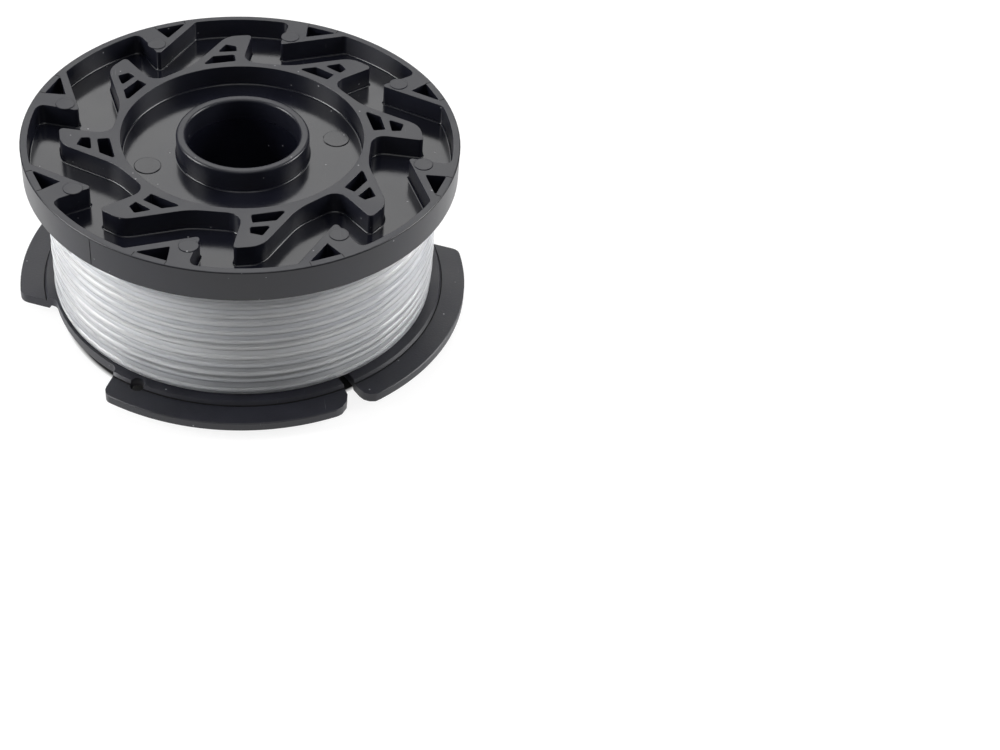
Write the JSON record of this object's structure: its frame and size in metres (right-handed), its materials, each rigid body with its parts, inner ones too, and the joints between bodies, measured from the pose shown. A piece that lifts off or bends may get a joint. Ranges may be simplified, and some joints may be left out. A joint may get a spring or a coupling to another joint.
{
  "type": "string trimmer line reel",
  "caption": "Moulded spool wound with nylon cutting line for a string trimmer head, with index teeth inside its drive rim and a winged line flange.",
  "frame": {"origin": "on the reel's axis, at the height of the lowest point, the cut end of the parked line", "axes": "+Z along the reel's axis towards the toothed drive side, +X and +Y across the wings"},
  "size_m": [0.073, 0.073, 0.0316],
  "materials": {
    "moulding": "satin black moulded polymer with a fine grain",
    "cutting_line": "semi-clear extruded nylon"
  },
  "bodies": {
    "root": {"drive_flange": "moulding", "index_ring": "moulding", "hub": "moulding", "drum": "moulding", "line_flange": "moulding", "line_inner_layers": "cutting_line", "line_outer_layer": "cutting_line", "line_anchored_end": "cutting_line", "line_free_end": "cutting_line"}
  },
  "joints": []
}
